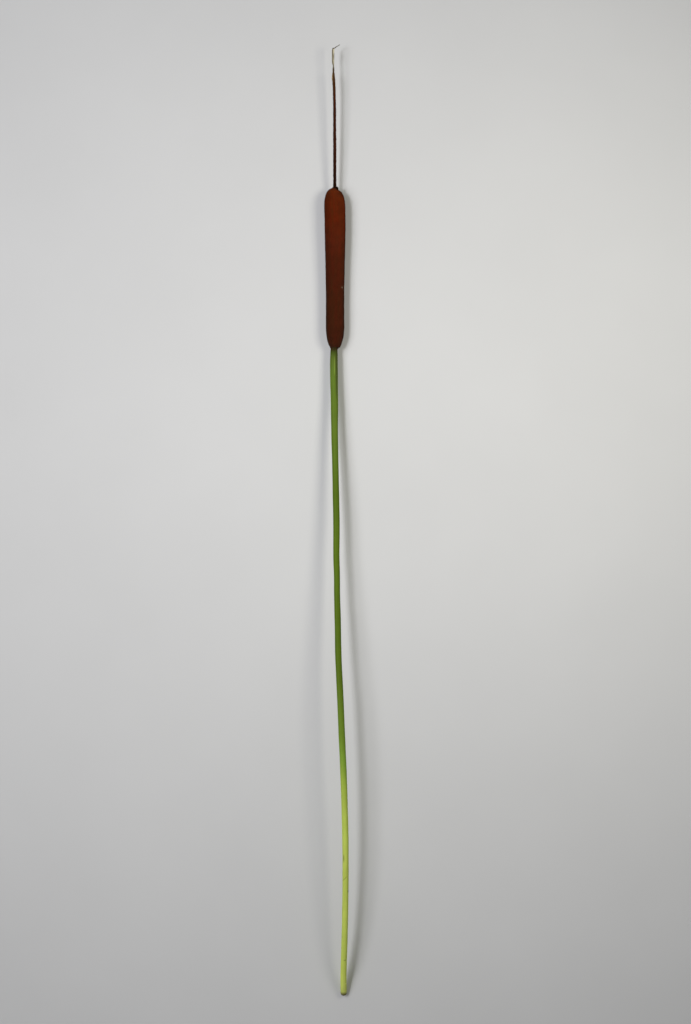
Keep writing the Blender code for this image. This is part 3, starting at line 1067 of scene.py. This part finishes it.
# %% The knot and the bent hair
def make_hair_material():
    material, tree, shader = new_material("grey_thread", roughness=0.85, specular=0.1)
    grain = use_group(tree, blotches, Size=0.7 * MM, Contrast=2.5)
    colour = colours_along(tree, grain, ((0.2, (0.13, 0.125, 0.10)), (0.8, (0.26, 0.25, 0.21))))
    dark = share_along(tree, 470.4 * MM, 469.8 * MM)
    paint(tree, shader, blend(tree, dark, colour, (0.085, 0.07, 0.045)), grain, 0.1 * MM)
    return material


knot_middle = tip_line.middle.at(tip_high.y - HAIR_RISE) + Vector((-0.2, 0.35, 0.1)) * MM
hair_end = Vector((tip_high.x - 0.2 * MM, tip_high.y - 0.6 * MM, knot_middle.z + 0.6 * MM))
hair_form = new_form()
bmesh.ops.create_icosphere(hair_form, subdivisions=3, radius=0.72 * MM, calc_uvs=True)
for vertex in hair_form.verts:
    lump = 1 + 0.45 * noise.noise(vertex.co / (0.6 * MM))
    vertex.co = vertex.co * lump + knot_middle
hair_bends = ((0.0, 0.0, 0.0), (0.16, 0.06, 0.05), (0.36, 0.33, 0.3), (0.6, 0.58, 0.55),
              (0.82, 0.84, 0.8), (1.0, 1.0, 1.0))
hair_way = hair_end - knot_middle
hair_points = [knot_middle + Vector(a * b for a, b in zip(hair_way, bend)) for bend in hair_bends]
add_thread(hair_form, hair_points, 0.95 * MM, sides=8)
hair = place_piece("bent_hair", hair_form, (make_hair_material(),))

# %% [markdown]
# ## The bract stub
#
# Beside the foot of the male spike a nearly black scale is left of the bract that once wrapped
# the flowers. It has curled up into a blunt nub: a ball, flattened, cupped on the side of the
# spike and torn at its upper end.

# %% Cup the bract stub
BRACT_LEAN = math.radians(40)
BRACT_SWING = math.radians(-27)
BRACT_HALF = Vector((1.4, 1.85, 0.95)) * MM
BRACT_CUP = 0.15 * MM
BRACT_TORN = 0.25 * MM
BRACT_COLOURS = (
    (0.3, (0.008, 0.0035, 0.0012)), (0.6, (0.018, 0.0075, 0.003)), (0.8, (0.04, 0.018, 0.007)))
bract_material = patterned_material(
    "black_bract", fibres, BRACT_COLOURS, roughness=0.9, specular=0.015, depth=0.15 * MM,
    Around=9.0, Along=1.5)
bract_low, bract_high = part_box("bract_stub")
bract_form = new_form()
bmesh.ops.create_icosphere(bract_form, subdivisions=4, radius=1.0, calc_uvs=True)
for vertex in bract_form.verts:
    across, along, _ = vertex.co
    torn = noise.noise(Vector((across * 2.5, 0.0, 3.0))) * BRACT_TORN * max(along, 0.0)
    cup = -BRACT_CUP * (1 - across * across)
    lump = 1 + 0.12 * noise.noise(vertex.co * 2.2)
    vertex.co = Vector(a * b for a, b in zip(vertex.co, BRACT_HALF)) * lump
    vertex.co += Vector((0, torn, cup))
bract_turn = Matrix.Rotation(BRACT_SWING, 4, "Y") @ Matrix.Rotation(BRACT_LEAN, 4, "X")
bmesh.ops.transform(bract_form, verts=bract_form.verts, matrix=bract_turn)
bmesh.ops.translate(bract_form, verts=bract_form.verts, vec=(bract_low + bract_high) / 2)
bract = place_piece("bract_scale", bract_form, (bract_material,), "bract_stub")

# %% [markdown]
# ## Loose fluff
#
# One pale seed hair has worked loose on the right flank of the head. It is a pinch of threads
# that lie on the felt.

# %% A pinch of pale threads
FLUFF_Y = 232 * MM
FLUFF_TURN = 0.37
FLUFF_THREADS = 9
FLUFF_LENGTH = 1.5 * MM
FLUFF_COLOURS = ((0.3, (0.36, 0.26, 0.16)), (0.7, (0.62, 0.52, 0.38)))
fluff_material = patterned_material(
    "pale_fluff", blotches, FLUFF_COLOURS, roughness=0.9, specular=0.1, depth=0.0,
    Size=0.4 * MM, Contrast=1.5)
fluff_form = new_form()
for index in range(FLUFF_THREADS):
    heading = math.tau * index / FLUFF_THREADS + 0.4
    reach = FLUFF_LENGTH * (0.6 + 0.4 * math.cos(index * 2.4))
    points = []
    for step in range(5):
        away = reach * step / 4
        y = FLUFF_Y + math.cos(heading) * away
        turn = FLUFF_TURN + math.sin(heading) * away / head_round
        rise = (0.2 + 0.5 * math.sin(math.pi * step / 4) + 0.1 * index / FLUFF_THREADS) * MM
        points.append(head_line.on_skin(y, turn, head_line.radius.at(y) + rise))
    add_thread(fluff_form, points, 0.12 * MM, sides=4)
fluff = place_piece("loose_fluff", fluff_form, (fluff_material,))

# %% [markdown]
# ## Floor, light and camera
#
# The stalk lies on plain pale grey paper. Soft light falls on it from both sides. On the left
# a wide light with a small one at its upper edge gives a clear shadow with a long soft tail. A
# nearer, weaker and slightly warmer one on the right gives a faint wide shadow. The camera looks
# straight down from two metres, with the stalk upright in the picture.

# %% The paper
FLOOR_SIZE = 8.0


def make_paper_material():
    material, tree, shader = new_material("pale_paper", roughness=0.95, specular=0.1)
    clouds = use_group(tree, blotches, Size=0.16, Contrast=1.2)
    paint(tree, shader, blend(tree, clouds, (0.588, 0.586, 0.584), (0.628, 0.626, 0.624)))
    return material


floor_form = bmesh.new()
bmesh.ops.create_grid(floor_form, x_segments=1, y_segments=1, size=FLOOR_SIZE / 2)
floor = put_in_scene("paper_floor", mesh_from("paper_floor", floor_form))
floor.data.materials.append(make_paper_material())


# %% Soft lights and a pale surround
LIGHT_SPREAD = math.radians(87)
LIGHT_AIM = Vector((0.06, 0.12, 0.0))
LIGHTS_UP = 0.3  # where the lights stand along the stalk, beside the head
COOL = (0.984, 0.99, 1.03)
WARM = (1.04, 1.02, 0.9)
LIGHTS = (
    # name, distance aside and height, length and width in metres, power in watts, colour
    ("left_key", -0.8, 1.6, 0.3, 0.3, 2.2, COOL),
    ("left_wide", -1.09, 1.6, 1.6, 0.76, 5.0, COOL),
    ("right_wide", 0.7, 0.9, 0.4, 0.4, 1.3, WARM),
)


def add_light(name, aside, height, length, width, power, colour):
    lamp = bpy.data.lights.new(name, "AREA")
    lamp.shape = "RECTANGLE"
    lamp.size = length
    lamp.size_y = width
    lamp.energy = power
    lamp.color = colour
    lamp.spread = LIGHT_SPREAD
    light = put_in_scene(name, lamp)
    light.location = (aside, LIGHTS_UP, height)
    light.rotation_euler = (LIGHT_AIM - light.location).to_track_quat("-Z", "Y").to_euler()


for values in LIGHTS:
    add_light(*values)

SURROUND_COLOUR = (0.99, 1.0, 0.98, 1)
SURROUND_STRENGTH = 0.166

world = bpy.data.worlds.new("pale_surround")
world.use_nodes = True
background = world.node_tree.nodes["Background"]
background.inputs["Color"].default_value = SURROUND_COLOUR
background.inputs["Strength"].default_value = SURROUND_STRENGTH
bpy.context.scene.world = world
bpy.context.scene.view_settings.view_transform = "Standard"

# %% The camera, straight above
PICTURE_HEIGHT = 1024  # pixels
MM_PER_PIXEL = 1.0  # at the level of the floor
CAMERA_HEIGHT = 2.0
CAMERA_ASIDE = 8.9 * MM
CAMERA_UP = 9.0 * MM
lens = bpy.data.cameras.new("camera")
lens.sensor_width = 36.0
lens.lens = lens.sensor_width * CAMERA_HEIGHT / (PICTURE_HEIGHT * MM_PER_PIXEL * MM)
camera = put_in_scene("camera", lens)
camera.location = (CAMERA_ASIDE, CAMERA_UP, CAMERA_HEIGHT)
bpy.context.scene.camera = camera
print("lens", lens.lens, "mm")
